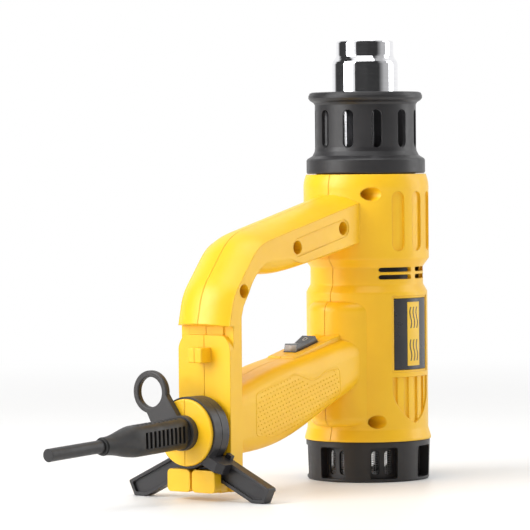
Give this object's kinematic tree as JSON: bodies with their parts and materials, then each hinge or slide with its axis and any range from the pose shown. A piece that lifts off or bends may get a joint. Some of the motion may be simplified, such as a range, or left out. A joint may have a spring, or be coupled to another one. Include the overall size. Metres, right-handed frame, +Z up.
{
  "type": "heat gun",
  "caption": "D-handle hot-air gun standing on its intake cap, with steel nozzle, slotted guard, rocker switch, fold-out legs, hanging ring and cable.",
  "frame": {"origin": "centre of the underside of the round air-intake cap, on the barrel's axis", "axes": "+Z up the barrel towards the nozzle, -X towards the handle and cable, Y = 0 is the parting plane"},
  "size_m": [0.3299, 0.102, 0.264],
  "materials": {
    "housing_yellow": "fine-textured yellow ABS",
    "guard_black": "satin black glass-filled nylon",
    "cap_black": "satin black plastic",
    "nozzle_chrome": "polished plated steel",
    "badge_black": "plain dark name plate without a name",
    "rocker_black": "gloss black",
    "leg_black": "satin black nylon",
    "ring_black": "satin black nylon",
    "sleeve_rubber": "black flexible PVC",
    "cable_rubber": "black mains flex",
    "screw_steel": "zinc-plated",
    "ceramic_white": "unglazed",
    "coil_alloy": "oxidised resistance wire",
    "mica": "mica sheet",
    "duct_grey": "heat-resistant plastic",
    "motor_steel": "plated can",
    "fan_plastic": "moulded nylon",
    "bracket_black": "moulded nylon",
    "board_green": "printed circuit board",
    "parts_black": "electronic parts",
    "screen_steel": "woven mesh",
    "wire_brown": "brown insulation",
    "wire_blue": "blue insulation",
    "wire_white": "glass-braid insulation",
    "block_white": "terminal block",
    "cap_box": "boxed capacitor"
  },
  "bodies": {
    "casing": {"housing_right": "housing_yellow", "housing_left": "housing_yellow", "nozzle_guard": "guard_black", "nozzle_tube": "nozzle_chrome", "intake_cap": "cap_black", "intake_screen": "screen_steel", "badge_right": "badge_black", "badge_left": "badge_black", "switch_body": "bracket_black", "cable_sleeve": "sleeve_rubber", "power_cable": "cable_rubber", "cable_clamp": "block_white", "clamp_screws": "screw_steel", "wire_live": "wire_brown", "wire_neutral": "wire_blue", "terminal_block": "block_white", "suppression_capacitor": "cap_box", "switch_leads": "wire_brown", "heater_leads": "wire_white", "housing_screws": "screw_steel", "air_duct": "duct_grey", "insulating_ring": "mica", "mica_sleeve": "mica", "heater_mount": "ceramic_white", "heater_core": "ceramic_white", "heater_coil": "coil_alloy", "thermal_cutout": "motor_steel", "fan_motor": "motor_steel", "motor_bracket": "bracket_black", "inlet_ring": "bracket_black", "rectifier_board": "board_green", "board_parts": "parts_black"},
    "fan": {"motor_shaft": "motor_steel", "fan_impeller": "fan_plastic"},
    "rocker": {"switch_rocker": "rocker_black"},
    "leg_right": {"support_leg_right": "leg_black"},
    "leg_left": {"support_leg_left": "leg_black"},
    "hanger": {"hanging_ring": "ring_black"}
  },
  "joints": [
    {"name": "fan_spin", "type": "hinge", "parent": "casing", "child": "fan", "pos_m": [0, 0, 0.05], "axis": [0, 0, 1], "continuous": true},
    {"name": "rocker_tilt", "type": "hinge", "parent": "casing", "child": "rocker", "pos_m": [-0.0655, 0, 0.0802], "axis": [0, 1, 0], "range_deg": [-12, 12]},
    {"name": "leg_right_swing", "type": "hinge", "parent": "casing", "child": "leg_right", "pos_m": [-0.165, 0, 0.0388], "axis": [-1, 0, 0], "range_deg": [0, 115]},
    {"name": "leg_left_swing", "type": "hinge", "parent": "casing", "child": "leg_left", "pos_m": [-0.165, 0, 0.0388], "axis": [1, 0, 0], "range_deg": [0, 115]},
    {"name": "hanger_turn", "type": "hinge", "parent": "casing", "child": "hanger", "pos_m": [-0.1774, 0, 0.0388], "axis": [1, 0, 0], "continuous": true}
  ]
}
